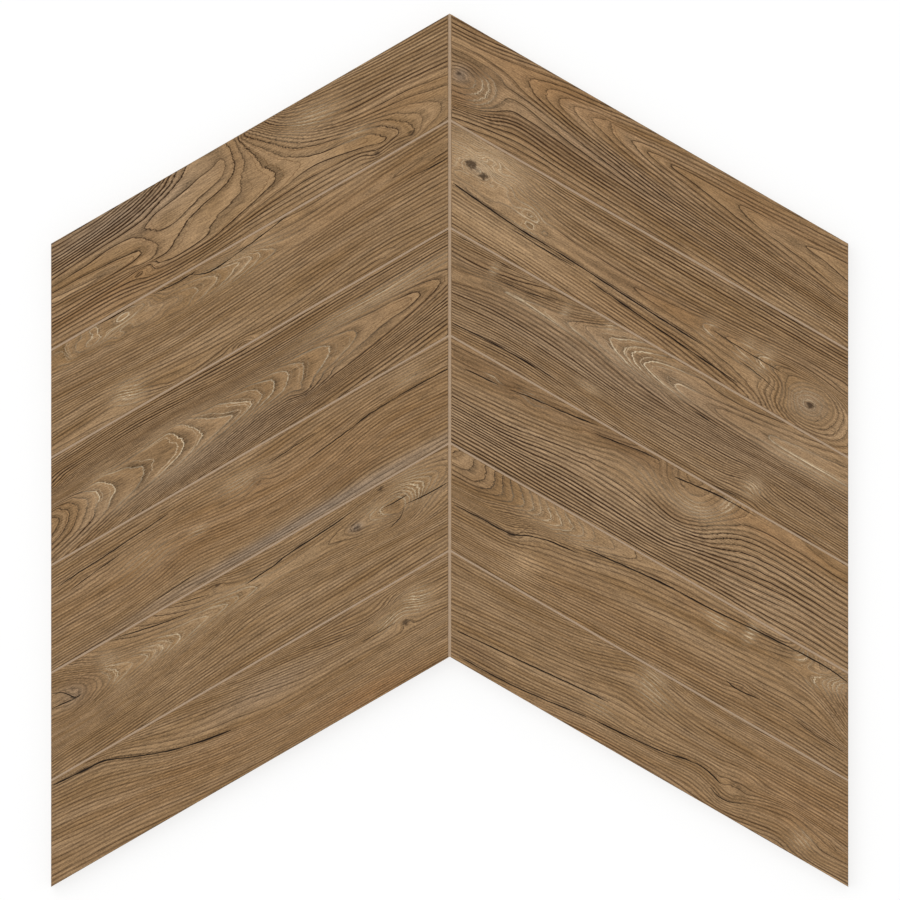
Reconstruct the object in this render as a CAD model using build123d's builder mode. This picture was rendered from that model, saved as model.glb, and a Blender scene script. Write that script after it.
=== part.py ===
from build123d import *

import math
import os

# A chevron sheet of wood-look porcelain. Two columns of slanted planks lean on each other
# along a spine, and one web of joint filler holds them together. The sheet lies face up.
# The origin is in the middle of the back, +X runs across the sheet, +Y runs along the
# spine towards the point of the chevron, and +Z comes out of the printed face.

# Driving dimensions, in millimetres and degrees
slope = 30.0  # how far the planks climb from the sides to the spine
rows = 6  # planks in each column
plank_length = 216.5  # along a long edge
plank_width = 43.0  # square to the long edges
thickness = 9.5  # from the back to the face
arris = 0.3  # small bevel round each plank's face
row_joint = 1.0  # filler between two planks of a column, square to their long edges
spine_joint = 1.4  # filler between the two columns
filler_recess = 0.45  # from the face down to the top of the filler

# Sizes that follow from them
climb = math.radians(slope)
plank_run = plank_length * math.cos(climb)  # how far a plank reaches across the sheet
plank_rise = plank_length * math.sin(climb)  # how far its spine end is above its side end
end_height = plank_width / math.cos(climb)  # length of a plank's cut ends
row_pitch = (plank_width + row_joint) / math.cos(climb)  # from one row to the next, along Y
spine_edge = spine_joint / 2  # the planks' ends at the spine
side_edge = spine_edge + plank_run  # the planks' ends at the sides
point_height = spine_edge * math.tan(climb)  # from the top planks' corners up to the point
side_height = (rows - 1) * row_pitch + end_height
sheet_height = side_height + plank_rise + point_height
point_y = sheet_height / 2
filler_top = thickness - filler_recess


def plank_corners(side, row):
    """The four corners of a plank, from its upper corner at the spine round to the lower one."""
    top = point_y - point_height - row * row_pitch
    return [
        (side * spine_edge, top),
        (side * side_edge, top - plank_rise),
        (side * side_edge, top - plank_rise - end_height),
        (side * spine_edge, top - end_height),
    ]


def outline_corners():
    """The six corners of the whole sheet, from its point round to the right."""
    shoulder_y = point_y - point_height - plank_rise
    return [
        (0, point_y),
        (side_edge, shoulder_y),
        (side_edge, shoulder_y - side_height),
        (0, point_y - side_height),
        (-side_edge, shoulder_y - side_height),
        (-side_edge, shoulder_y),
    ]


def make_plank(side, row):
    """One fired plank: a slanted plate with a small bevel round its face."""
    with BuildPart() as plank:
        with BuildSketch():
            with BuildLine():
                Polyline(*plank_corners(side, row), close=True)
            make_face()
        extrude(amount=thickness)
        face = plank.faces().sort_by(Axis.Z)[-1]
        chamfer(face.edges(), length=arris)
    return plank.part


def make_filler():
    """The web of filler: what the planks leave of the sheet's outline, up to just below the face."""
    with BuildPart() as filler:
        with BuildSketch():
            with BuildLine():
                Polyline(*outline_corners(), close=True)
            make_face()
            for side in columns.values():
                for row in range(rows):
                    with BuildLine():
                        Polyline(*plank_corners(side, row), close=True)
                    make_face(mode=Mode.SUBTRACT)
        extrude(amount=filler_top)
    return filler.part


os.makedirs("parts", exist_ok=True)
columns = {"left": -1, "right": 1}

for column, side in columns.items():
    for row in range(rows):
        plank = make_plank(side, row)
        plank.label = f"{column}_plank_{row + 1}"
        export_step(plank, f"parts/{plank.label}.step")

filler = make_filler()
filler.label = "joint_filler"
export_step(filler, "parts/joint_filler.step")
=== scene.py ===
# %% [markdown]
# A chevron sheet of wood-look porcelain.
#
# The real thing is twelve fired porcelain planks, held in a chevron by one web of joint filler.
# Its wood is a picture: an inkjet head prints growth rings, knots and cracks on the pressed
# plank, a press leaves a shallow relief in step with them, and a matte glaze is fired over both.
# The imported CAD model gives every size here. This script models each plank's relief and prints it.

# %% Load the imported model
import bmesh
import bpy
import math
import numpy as np
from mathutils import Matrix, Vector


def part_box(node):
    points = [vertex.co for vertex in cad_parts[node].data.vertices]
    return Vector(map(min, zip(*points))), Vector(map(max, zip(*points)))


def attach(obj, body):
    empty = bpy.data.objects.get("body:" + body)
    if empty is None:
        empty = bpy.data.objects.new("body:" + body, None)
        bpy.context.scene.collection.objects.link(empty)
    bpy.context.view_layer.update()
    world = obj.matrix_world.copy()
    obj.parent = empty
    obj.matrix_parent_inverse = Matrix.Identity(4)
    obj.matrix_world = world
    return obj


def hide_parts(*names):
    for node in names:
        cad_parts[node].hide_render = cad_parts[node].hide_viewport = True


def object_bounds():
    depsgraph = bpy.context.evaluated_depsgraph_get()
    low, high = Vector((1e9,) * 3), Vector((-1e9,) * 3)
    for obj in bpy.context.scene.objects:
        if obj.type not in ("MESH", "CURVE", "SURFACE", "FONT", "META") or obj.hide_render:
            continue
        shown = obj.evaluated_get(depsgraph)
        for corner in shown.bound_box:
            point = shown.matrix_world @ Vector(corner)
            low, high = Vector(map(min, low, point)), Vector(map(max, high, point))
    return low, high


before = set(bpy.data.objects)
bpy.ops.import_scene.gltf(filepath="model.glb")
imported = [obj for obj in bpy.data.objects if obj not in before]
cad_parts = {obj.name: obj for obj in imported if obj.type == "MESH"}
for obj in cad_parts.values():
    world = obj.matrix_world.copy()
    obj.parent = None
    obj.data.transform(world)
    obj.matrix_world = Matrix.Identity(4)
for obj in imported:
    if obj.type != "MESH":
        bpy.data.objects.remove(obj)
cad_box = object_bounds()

mm = 0.001
columns = {"left": -1, "right": 1}
rows = sum(name.startswith("left_plank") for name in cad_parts)
print("rows:", rows, "pieces:", len(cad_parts))

# %% [markdown]
# The sizes of a plank come from the boxes of the CAD nodes.
#
# A plank is a slanted plate: both of its ends run straight up the sheet, and its long edges
# climb to the spine. Its box gives the run and the height, and the slope splits that height
# into the climb and the length of a cut end.

# %% Read the sizes of a plank
slope = math.radians(30.0)
arris = 0.3 * mm  # the small bevel round a plank's face
low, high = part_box("right_plank_1")
plank_run = high.x - low.x
plank_rise = plank_run * math.tan(slope)
end_height = high.y - low.y - plank_rise
thickness = high.z - low.z
plank_top = high.y
spine_edge = low.x
row_pitch = plank_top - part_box("right_plank_2")[1].y
plank_width = end_height * math.cos(slope)
plank_length = plank_run / math.cos(slope)
print(f"plank {plank_length / mm:.1f} x {plank_width / mm:.1f} x {thickness / mm:.1f} mm")

# %% [markdown]
# The blank plank is modelled by hand from a cube.
#
# The cube is made as long and as high as the plank's straight ends, and its outer end is then
# moved down, which slants the long edges and leaves the ends upright. A bevel gives the arris.
# Last, the face alone is cut into small cells, so that the relief can be pressed into it. A
# subdivision modifier would cut the back and the sides too, where nothing needs it.

# %% Select parts of a mesh by their place
def pick(mesh, kind, test):
    """Selects the verts, edges or faces of a mesh in edit mode that pass the test, and no others."""
    bpy.ops.mesh.select_mode(type={"verts": "VERT", "edges": "EDGE", "faces": "FACE"}[kind])
    bpy.ops.mesh.select_all(action="DESELECT")
    shape = bmesh.from_edit_mesh(mesh)
    for item in getattr(shape, kind):
        item.select_set(test(item))
    shape.select_flush_mode()
    bmesh.update_edit_mesh(mesh)


# %% Model a blank plank
hair = 0.001 * mm  # how far two places may differ and still be the same
cells_along = (4, 75)  # cut in two goes, because one cut makes at most a hundred
cells_across = 100


def on_face(edge):
    return all(corner.co.z > thickness - hair for corner in edge.verts)


def runs_along(edge):
    return abs(edge.verts[0].co.x - edge.verts[1].co.x) > hair


def model_blank(column, side):
    """The top plank of a column, unprinted, with a face of small cells."""
    low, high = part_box(f"{column}_plank_1")
    middle = ((low.x + high.x) / 2, high.y - end_height / 2, thickness / 2)
    bpy.ops.object.select_all(action="DESELECT")
    bpy.ops.mesh.primitive_cube_add(size=1, location=middle, scale=(plank_run, end_height, thickness))
    bpy.ops.object.transform_apply(location=True, rotation=False, scale=True)
    blank = bpy.context.object
    mesh = blank.data
    bpy.ops.object.mode_set(mode="EDIT")
    pick(mesh, "verts", lambda corner: (corner.co.x - middle[0]) * side > 0)
    bpy.ops.transform.translate(value=(0, -plank_rise, 0))
    pick(mesh, "edges", on_face)
    bpy.ops.mesh.bevel(offset=arris, segments=1, affect="EDGES")
    for cells in cells_along:
        pick(mesh, "edges", lambda edge: on_face(edge) and runs_along(edge))
        bpy.ops.mesh.subdivide(number_cuts=cells - 1, ngon=True)
    pick(mesh, "edges", lambda edge: on_face(edge) and not runs_along(edge))
    bpy.ops.mesh.subdivide(number_cuts=cells_across - 1, ngon=True)
    bpy.ops.object.mode_set(mode="OBJECT")
    return blank


# %% Copy the blanks down both columns
def copy_down(blank, row):
    """A copy of a blank with its own mesh, as many rows down as the number says."""
    bpy.ops.object.select_all(action="DESELECT")
    blank.select_set(True)
    bpy.context.view_layer.objects.active = blank
    if row:
        bpy.ops.object.duplicate(linked=False)
        bpy.ops.transform.translate(value=(0, -row * row_pitch, 0))
        bpy.ops.object.transform_apply(location=True, rotation=False, scale=False)
    return bpy.context.object


planks = {}
for column, side in columns.items():
    blank = model_blank(column, side)
    for row in range(rows):
        plank = copy_down(blank, row)
        node = f"{column}_plank_{row + 1}"
        plank.name = f"printed_{node}"
        plank.data.name = plank.name
        planks[node] = plank
print("blanks:", len(planks), "faces on each:", len(blank.data.polygons))

# %% [markdown]
# The wood is drawn first as a map of growth rings.
#
# Sawn wood shows lines where the saw crossed the tree's yearly rings. If each place on the board
# has a ring number, a line is wherever that number is whole, as a contour line is on a map. So a
# few rings are drawn on each plank, with their numbers, and a thin plate spline, the shape of a
# springy sheet bent over pins, gives the number everywhere between them. Knots are humps in the
# map, which the rings run round. Drawing every line by hand would take far longer, and noise
# alone would never make the pointed arches of a real board.

# %% Smooth a drawn line
def smooth_line(points, steps=4):
    """More points along a smooth curve through the drawn ones, by the Catmull-Rom rule."""
    points = np.array(points, float)
    if len(points) < 3:
        share = np.linspace(0, 1, steps * len(points))[:, None]
        return points[0] * (1 - share) + points[-1] * share
    ends = np.vstack([2 * points[0] - points[1], points, 2 * points[-1] - points[-2]])
    made = []
    for before, start, stop, after in zip(ends, ends[1:], ends[2:], ends[3:]):
        t = np.arange(steps)[:, None] / steps
        bend = 2 * before - 5 * start + 4 * stop - after
        twist = 3 * start - before - 3 * stop + after
        made.append(start + 0.5 * t * (stop - before) + 0.5 * t**2 * bend + 0.5 * t**3 * twist)
    return np.vstack(made + [points[-1:]])


# %% Bend the map of rings over the drawn lines
stretch = 3.0  # along the grain, wood changes this many times more slowly than across it
give = 0.02  # how far the sheet may miss a pin, so that two near ones don't crease it


def springiness(square):
    return 0.5 * square * np.log(square + 1e-9)


def ring_map(lines):
    """A function that gives the ring number at places (u, v), in mm, from drawn rings."""
    pins, numbers = [], []
    for number, *line in lines:
        smooth = smooth_line(line)
        pins.append(smooth)
        numbers += [number] * len(smooth)
    pins = np.vstack(pins) / (stretch, 1)
    between = springiness(((pins[:, None] - pins[None]) ** 2).sum(2)) + give * np.eye(len(pins))
    tilt = np.c_[np.ones(len(pins)), pins]
    whole = np.block([[between, tilt], [tilt.T, np.zeros((3, 3))]])
    pull = np.linalg.solve(whole, np.r_[numbers, 0, 0, 0])

    def rings(u, v):
        numbers = []
        for place in np.array_split(np.c_[u / stretch, v], 16):
            apart = springiness(((place[:, None] - pins[None]) ** 2).sum(2))
            numbers.append(apart @ pull[:-3] + np.c_[np.ones(len(place)), place] @ pull[-3:])
        return np.concatenate(numbers)

    return rings


# %% Make smooth random wandering
waves = 16  # added up, enough of them that no pattern shows
peak = 1.5  # the sum seldom passes this many times its usual height


def wander(u, v, along, across, seed):
    """A smooth random height from about -1 to 1, with waves of these lengths in mm."""
    draw = np.random.default_rng(seed)
    height = np.zeros_like(u)
    for _ in range(waves):
        turn = draw.uniform(0, 2 * math.pi)
        speed = draw.uniform(0.6, 1.5)
        shift = draw.uniform(0, 2 * math.pi)
        course = math.cos(turn) * u / along + math.sin(turn) * v / across
        height += np.cos(2 * math.pi * speed * course + shift)
    return height / math.sqrt(waves / 2) / peak


# %% [markdown]
# What each plank shows is written down plank by plank.
#
# Every place is in mm from the plank's upper corner at the spine: u along the grain, away from
# the spine, and v across it, down the plank. A ring is its number and then its points. A crack
# is its half width and then its points. A knot is its place, its radius, how many rings it
# lifts the map by and how dark it is. A patch is its place, its reach along and across the
# grain, and how strong it is. The density is how many rings are printed for each drawn number.

# %% Start the list of planks
wood = {}

# %% Draw the wood of left plank 1
wood["left_plank_1"] = {
    "density": 1.0,
    "rings": [
        (0, (0, 0.5), (40, 0), (70, -1)),
        (3, (2, 5), (40, 3.5), (66, 1.5), (86, 0)),
        (6, (5, 10), (40, 8.5), (72, 5.5), (92, 1)),
        (9, (8, 15.5), (40, 13.5), (74, 10), (90, 6), (97, 1)),
        (12, (12, 21), (40, 19), (66, 17), (86, 12), (98, 5), (103, 0)),
        (14, (20, 28), (36, 25), (60, 22), (80, 17), (96, 9), (106, 0)),
        (17, (44, 33), (52, 28), (70, 24), (90, 18), (101, 10), (110, 1)),
        (19, (57, 36), (60, 31), (76, 27), (98, 22), (106, 14), (114, 2)),
        (21, (228, 31.5), (200, 31), (181, 31), (176, 33.5), (168, 34.5), (155, 34), (148, 32),
            (143, 29), (137, 26), (131, 24), (125, 20), (119, 12), (117, 4), (117, -1)),
        (22, (228, 29.5), (200, 29.8), (180, 30.8), (171, 30.5), (166, 27), (160, 24.5), (150, 22),
            (140, 20), (130, 17), (124, 12), (121, 5), (121, -1)),
        (23, (129, -1), (130.5, 5.5), (140, 8), (150, 10), (160, 11.5), (168, 13), (172, 16),
            (169, 20), (160, 20.5), (150, 18.5), (140, 16), (131, 12.5), (126, 7), (125, -1)),
        (22, (142, -1), (150, 4.5), (165, 9.5), (174, 12), (185, 13), (200, 13.5), (222, 15)),
        (22.4, (172.5, 19), (172.8, 23)),
        (23, (224, 18), (200, 16), (189, 16), (181, 18), (177, 21), (174.5, 25), (177, 28), (184, 28.7),
            (200, 28.3), (228, 27.8)),
        (24, (226, 20.5), (205, 20.5), (190, 22.5), (184, 25), (195, 27), (228, 26.5)),
        (25, (228, 23), (210, 24), (198, 25), (210, 25.6), (228, 25.3)),
        (20, (150, -1), (160, 4.5), (180, 9), (200, 10.5), (221, 12)),
        (18, (218, 9.5), (196, 8), (174, 5.5), (158, 0.5)),
        (13.5, (216, 3), (190, 2), (166, -2)),
        (15.7, (216, 6.5), (192, 5), (168, 1)),
        (19, (228, 34), (200, 34), (190, 35), (180, 37), (150, 37.3), (120, 33.5), (96, 31),
            (80, 32)),
        (16.5, (228, 38), (200, 38), (170, 41), (120, 38), (70, 38)),
        (14, (238, 42.5), (170, 45), (110, 43), (60, 43)),
    ],
    "cracks": [],
    "knots": [(62, 40, 2.5, 1.0, 0.6), (43, 40, 2.5, 1.0, 0.6)],
    "patches": {
        "ink": [(188, 8, 45, 11, 0.5), (110, 20, 160, 30, 0.2)],
        "pale": [(80, 10, 14, 5, 0.5), (66, 27, 8, 3, 0.4)],
        "dark": [(174, 20, 7, 8, 0.4), (120, 10, 20, 8, 0.15), (30, 4, 30, 4, -0.3)],
        "warm": [(205, 36, 35, 7, 0.4), (40, 24, 30, 8, 0.2)],
        "grey": [(185, 6, 38, 8, 0.6)],
    },
}

# %% Draw the wood of left plank 2
wood["left_plank_2"] = {
    "density": 1.2,
    "rings": [
        (0, (0, 0), (40, 1), (70, 1), (110, 0)),
        (2, (2, 4), (30, 5), (60, 7), (90, 8), (114, 5), (150, -1)),
        (5, (120, 12), (112, 9), (118, 6.5), (140, 3)),
        (6, (134, 13), (124, 9.5), (130, 6), (146, 3.5)),
        (6.6, (142, 13.5), (131, 9.5), (138, 5.5), (152, 4)),
        (7.3, (150, 14), (139, 9), (146, 6), (158, 5)),
        (8.5, (166, 12), (154, 8), (162, 5)),
        (10, (200, 7), (180, 6), (168, 3), (176, 0)),
        (9, (214, 1), (211, 4), (216, 7)),
        (3, (12, 11), (60, 12), (100, 13.5), (130, 16.5), (160, 18.5), (190, 17.5), (220, 16)),
        (0, (10, 16), (60, 17), (120, 21), (170, 23.5), (226, 21)),
        (-4, (14, 25), (60, 24.5), (120, 27.5), (160, 29), (200, 26.5), (230, 26)),
        (-6, (16, 29), (60, 28.5), (120, 32), (160, 33), (184, 31), (206, 28.5), (232, 29)),
        (-8, (18, 33), (60, 32), (110, 36), (150, 37.5), (178, 36.5), (190, 35), (200, 32),
            (232, 32)),
        (-11, (20, 39), (60, 38), (110, 42), (150, 44), (180, 42), (196, 38.5), (204, 36), (236, 37)),
        (-13, (24, 43), (70, 43), (200, 43.5), (240, 43)),
    ],
    "cracks": [
        (0.3, (86, 0), (100, 2), (120, 4.2), (133, 5), (142, 1.5)),
        (0.35, (138, 1.4), (150, 1.6), (160, 0.8)),
        (0.35, (168, 0), (180, 0.5), (192, 0.2)),
        (0.25, (6, 14.5), (14, 14.6), (30, 13.6)),
        (0.2, (6, 11.4), (17, 11.5)),
    ],
    "knots": [(195, 2, 3, 1.5, 0.3), (52, 38.5, 1.5, 0.3, 0.4), (58, 40.5, 1.5, 0.3, 0.4)],
    "patches": {
        "ink": [(110, 24, 200, 40, -0.15)],
        "pale": [
            (185, 4, 16, 5, 0.7), (212, 4, 5, 5, 0.6), (195, 35, 8, 5, 0.7), (124, 9, 24, 5, 0.7),
        ],
        "dark": [(60, 24, 60, 10, 0.15), (205, 18, 20, 8, 0.2)],
        "warm": [(60, 10, 50, 8, 0.2)],
        "swirl": [(190, 6, 24, 6, 1.0)],
    },
}

# %% Draw the wood of left plank 3
wood["left_plank_3"] = {
    "density": 1.15,
    "rings": [
        (-9, (0, 1), (60, 1), (120, 2), (170, 1), (214, 3)),
        (-5, (4, 6.5), (60, 7), (120, 8), (170, 5.5), (216, 7.5)),
        (-2, (8, 12), (40, 12), (80, 11), (120, 10.5), (170, 9), (205, 10), (222, 13)),
        (0, (90, 12.8), (50, 13.6), (25, 15.5), (17, 18), (22, 22), (34, 25.5), (60, 29.5), (90, 34)),
        (1, (100, 13.5), (62, 15.3), (48, 17), (41, 19.2), (48, 22.5), (58, 25.5), (80, 29)),
        (2, (104, 14.6), (80, 16), (70, 19), (66, 22), (69, 24.5), (80, 27.5)),
        (3, (103, 15.5), (90, 18.5), (82.5, 22.5), (86, 25.5), (98, 29)),
        (5, (118, 16.5), (110, 18.5), (105.5, 21), (109, 25), (120, 28)),
        (7, (136, 17), (128, 20), (122, 24), (128, 27), (140, 30)),
        (8, (152, 16), (147, 19), (141.5, 24), (145, 28), (156, 31.5)),
        (9, (160, 16), (155, 19), (153.5, 24), (157, 29), (166, 32)),
        (10, (178, 19), (172, 21.5), (170, 24), (174, 29), (184, 33)),
        (11, (200, 20), (195, 23), (194, 27), (197, 31), (206, 35)),
        (13, (216, 21), (212.5, 24), (212, 27), (215, 31)),
        (15, (227, 22), (224, 25), (224, 28), (227, 31)),
        (-5, (16, 30), (60, 34.5), (120, 40), (170, 45)),
        (-9, (20, 37), (60, 41), (90, 44)),
    ],
    "cracks": [],
    "knots": [(97, 33, 3.5, 1.5, 0.5), (87, 37.5, 1.2, 0.3, 0.5)],
    "patches": {
        "ink": [(110, 22, 150, 25, 0.4)],
        "pale": [
            (45, 11, 42, 3, 0.6), (85, 22, 24, 6, 0.5), (125, 23, 20, 6, 0.6),
            (155, 23, 15, 7, 0.8), (172, 26, 12, 8, 0.7), (199, 26, 10, 8, 0.9),
        ],
        "dark": [(110, 22, 150, 22, 0.3)],
        "grey": [(150, 36, 60, 6, 0.3)],
    },
}

# %% Draw the wood of left plank 4
wood["left_plank_4"] = {
    "density": 1.15,
    "rings": [
        (0, (0, 1), (40, 0.5), (70, 1), (110, 3.5), (160, 3), (214, 5)),
        (4, (4, 7), (40, 6.5), (75, 9), (100, 11), (150, 8.5), (218, 11)),
        (8, (8, 13), (30, 12), (52, 12.8), (70, 15.5), (100, 18.5), (125, 17), (160, 13),
            (180, 15), (205, 18), (222, 18)),
        (12, (12, 20), (40, 18), (60, 20), (85, 24), (120, 24.5), (150, 21), (165, 20), (185, 24),
            (205, 25), (228, 25)),
        (17, (16, 28), (45, 26), (70, 29), (100, 32), (125, 31.5), (155, 28), (175, 31), (200, 33),
            (234, 33)),
        (22, (20, 36), (60, 34.5), (90, 38), (130, 38.5), (165, 36.5), (200, 39), (238, 40)),
        (25, (24, 42), (80, 43), (160, 42), (240, 44)),
    ],
    "cracks": [
        (0.3, (4, 13), (28, 12.3), (50, 12.8), (60, 14.2), (80, 16.3), (86, 16.6)),
        (0.25, (76, 7.6), (90, 8.4), (104, 9.1)),
        (0.3, (156, 6), (170, 7), (190, 8.3), (210, 9.2), (219, 10)),
        (0.25, (186, 11.4), (200, 12.6), (214, 14.2)),
        (0.25, (158, 37), (170, 37.8), (182, 38.6)),
    ],
    "knots": [(112, 14, 4, 1.5, 0.35), (22, 7.6, 2, 0.4, 0.4), (205, 11.5, 4, 0.8, 0.3)],
    "patches": {
        "ink": [(110, 22, 200, 40, -0.3)],
        "pale": [
            (118, 10, 12, 5, 0.4), (175, 19, 14, 6, 0.3), (148, 20, 5, 2, 0.5), (26, 7, 8, 3, 0.3),
        ],
        "dark": [(75, 33, 24, 5, 0.35), (112, 15, 5, 3, 0.4), (165, 27, 20, 5, 0.2)],
        "warm": [(110, 22, 120, 15, 0.35)],
        "grey": [(100, 41, 90, 3.5, 0.9)],
    },
}

# %% Draw the wood of left plank 5
wood["left_plank_5"] = {
    "density": 1.6,
    "rings": [
        (3, (60, 6), (45, 4), (28, 4), (14, 8.5), (22, 15), (34, 20), (50, 19.5), (66, 17.5),
            (90, 16.5)),
        (5, (44, 7), (34, 5.5), (26, 8), (25, 13), (32, 18), (42, 17)),
        (7, (40, 10), (33, 9.5), (31, 13), (36, 16), (41, 14)),
        (0, (0, 1), (30, -1), (60, 1), (90, 2.5), (120, 0)),
        (3, (60, 6), (90, 8), (110, 7), (134, 2)),
        (4, (130, 16.5), (112, 14.5), (104, 12.5), (112, 10), (140, 6), (160, -1)),
        (5.5, (150, 18), (136, 15.5), (127, 13), (134, 10.5), (160, 6.5), (183, 0)),
        (7, (176, 22), (164, 18.5), (156, 15), (164, 11), (190, 5), (205, -1)),
        (9, (186, 20), (174, 17.5), (170, 15), (176, 12)),
        (10.5, (214, 23), (196, 19), (189, 15), (196, 10), (212, 3)),
        (0, (10, 19), (30, 24), (50, 23), (80, 21), (120, 20.5), (150, 26), (190, 31), (234, 33)),
        (-4, (16, 29), (60, 29), (120, 30), (180, 36), (236, 40)),
        (-9, (22, 40), (60, 41), (120, 42), (170, 45)),
    ],
    "cracks": [
        (0.3, (8, 15.2), (20, 15.2), (32, 14.2)),
        (0.25, (28, 10.8), (36, 10.8), (43, 10.4)),
        (0.3, (33, 15.5), (37, 18.5), (43, 20)),
        (0.35, (55, 4.4), (66, 5.6), (90, 6.8), (100, 8.2), (116, 9.3)),
        (0.25, (146, 7.4), (156, 6), (166, 4), (182, 0.3)),
        (0.25, (133, 4.8), (142, 2.6), (150, 0.5)),
        (0.42, (209, 15.4), (212, 15.2), (216, 10.5), (221, 8)),
        (0.35, (212, 15.6), (222, 14.6), (226, 14)),
    ],
    "knots": [
        (57, 12, 3.2, 1.2, 0.6),
        (38, 2, 3, 1.0, 0.5),
        (128, 3, 3, 1.0, 0.5),
        (212, 13, 8, 2.5, 0.3),
    ],
    "patches": {
        "ink": [(120, 22, 200, 30, -0.25)],
        "pale": [
            (24, 9, 10, 7, 0.7), (45, 11, 6, 4, 0.5), (128, 12, 26, 4, 0.5), (164, 15, 18, 4, 0.6),
            (190, 13, 5, 8, 0.6),
        ],
        "dark": [(206, 13, 12, 7, 0.3), (36, 14, 8, 5, 0.2)],
        "grey": [(57, 12, 3.5, 2, 0.8), (212, 14, 9, 6, 0.3)],
    },
}

# %% Draw the wood of left plank 6
wood["left_plank_6"] = {
    "density": 1.6,
    "rings": [
        (0, (2, 1), (40, 1), (70, 2), (90, 1), (110, -1)),
        (3, (4, 6), (28, 5), (38, 8), (52, 9.3), (70, 7), (90, 4.5), (110, 2.5), (130, 0)),
        (6, (6, 12.5), (20, 12.5), (30, 9), (40, 11), (52, 13), (70, 12.5), (100, 9), (125, 5),
            (150, 1), (165, -1)),
        (8, (9, 17), (22, 15.5), (33, 12), (46, 14.5), (60, 15.5), (90, 14), (120, 9), (160, 3),
            (185, -1)),
        (10, (12, 21), (24, 19.5), (40, 20.5), (60, 19.5), (90, 18.5), (120, 15), (150, 10.5),
            (180, 2.5), (200, -1)),
        (12, (14, 24), (40, 24), (80, 24.5), (110, 24), (130, 21.5), (150, 18), (170, 12), (190, 4),
            (217, 2)),
        (15, (16, 28), (60, 28), (100, 28), (130, 26), (160, 21), (180, 15), (200, 10.5), (222, 8)),
        (18, (18, 33), (60, 33), (100, 33), (130, 31.5), (160, 27.5), (185, 22), (205, 18),
            (226, 16)),
        (21, (20, 38), (60, 37.5), (110, 37.5), (150, 34), (185, 28.5), (230, 24)),
        (24, (24, 43), (70, 42.5), (120, 42), (160, 39.5), (200, 35), (236, 33)),
        (26, (170, 43.5), (210, 41), (240, 40)),
    ],
    "cracks": [
        (0.42, (130, 21.5), (140, 20), (150, 18), (160, 15.5), (170, 12), (180, 8), (190, 4),
            (200, 3.2), (217, 2)),
        (0.25, (38, 16.4), (57, 16.2)),
    ],
    "knots": [(34, 18.5, 3, 1.6, 0.6), (173, 14.5, 1.2, 0.3, 0.4), (68, 12, 1, 0.2, 0.4)],
    "patches": {
        "ink": [(120, 22, 200, 40, -0.3), (60, 6, 40, 6, 0.3)],
        "pale": [(24, 12, 7, 5, 0.7), (40, 14, 8, 3, 0.6)],
        "dark": [(100, 18, 30, 6, 0.15)],
        "warm": [(65, 39, 30, 5, 0.8), (150, 28, 60, 10, 0.3)],
        "grey": [(110, 14, 30, 6, 0.3)],
    },
}

# %% Draw the wood of right plank 1
wood["right_plank_1"] = {
    "density": 1.0,
    "rings": [
        (2, (0, 1), (30, -0.5), (50, -1)),
        (4, (3, 5), (20, 4), (40, 1), (60, -1)),
        (6, (5, 9), (20, 8), (40, 5), (58, 2), (80, -1)),
        (8, (232, 30), (160, 25.5), (120, 22), (90, 18), (62, 13), (57, 8.5), (62, 5.5), (80, 3),
            (100, 0), (110, -1)),
        (10, (230, 28), (170, 24), (130, 20.5), (100, 16.5), (80, 12.5), (72, 9.5), (76, 7),
            (90, 4.5), (110, 2.5), (130, 0)),
        (11, (112, 16.5), (92, 12.5), (82, 9.5), (86, 7), (100, 5), (140, 2), (170, -1)),
        (12, (130, 17.5), (100, 12), (91, 7.5), (97, 6), (140, 3.7), (200, 0)),
        (13, (228, 26), (180, 21), (150, 18), (118, 13.5), (104, 9), (110, 7), (130, 6), (170, 4),
            (214, 2)),
        (14, (160, 17), (128, 13), (113, 10), (120, 8.3), (140, 7.3), (180, 5), (216, 3.5)),
        (15, (170, 16), (140, 12), (126, 10), (134, 8.6), (150, 8), (190, 6.3), (217, 5)),
        (16, (225, 21), (200, 17.5), (170, 13), (160, 9.5), (172, 8.4), (200, 7.8), (218, 6.8)),
        (17, (223, 15), (213, 12.5), (207, 9.8), (213, 9), (220, 8.6)),
        (5.2, (40, 16), (60, 18), (90, 22.5), (120, 26), (160, 28.5), (232, 32.5)),
        (7, (12, 19), (20, 17.5), (28, 20), (30, 25), (24, 30), (19, 31)),
        (5, (11, 15.5), (24, 14.5), (35, 18), (37, 25), (32, 31), (22, 34)),
        (3.2, (48, 24), (70, 25.5), (100, 28.5), (140, 30.5), (180, 32), (234, 35)),
        (-0.5, (22, 38), (40, 35), (50, 31.5), (60, 31), (80, 33), (120, 35), (180, 37), (230, 39)),
        (-3.5, (26, 43), (60, 38), (100, 39.5), (150, 41.5), (200, 43.5)),
    ],
    "cracks": [],
    "knots": [(18, 22.5, 3.5, 1.5, 0.5)],
    "patches": {
        "ink": [
            (130, 25, 110, 12, 0.45), (50, 36, 40, 7, 0.4), (15, 3, 20, 4, 0.3),
            (27, 25, 12, 8, -0.5),
        ],
        "pale": [(32, 24, 6, 7, 0.6)],
        "dark": [
            (110, 22, 160, 30, 0.12), (28, 17, 14, 3, 0.5), (60, 30, 26, 5, 0.3), (26, 26, 13, 8, 0.5),
            (210, 38, 40, 4, -0.35),
        ],
        "warm": [(60, 7, 44, 7, 0.5), (20, 32, 10, 5, 0.4), (180, 6, 40, 5, 0.3)],
        "grey": [(18, 22.5, 4, 4, 0.6), (100, 24, 50, 6, 0.25)],
    },
}

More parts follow.
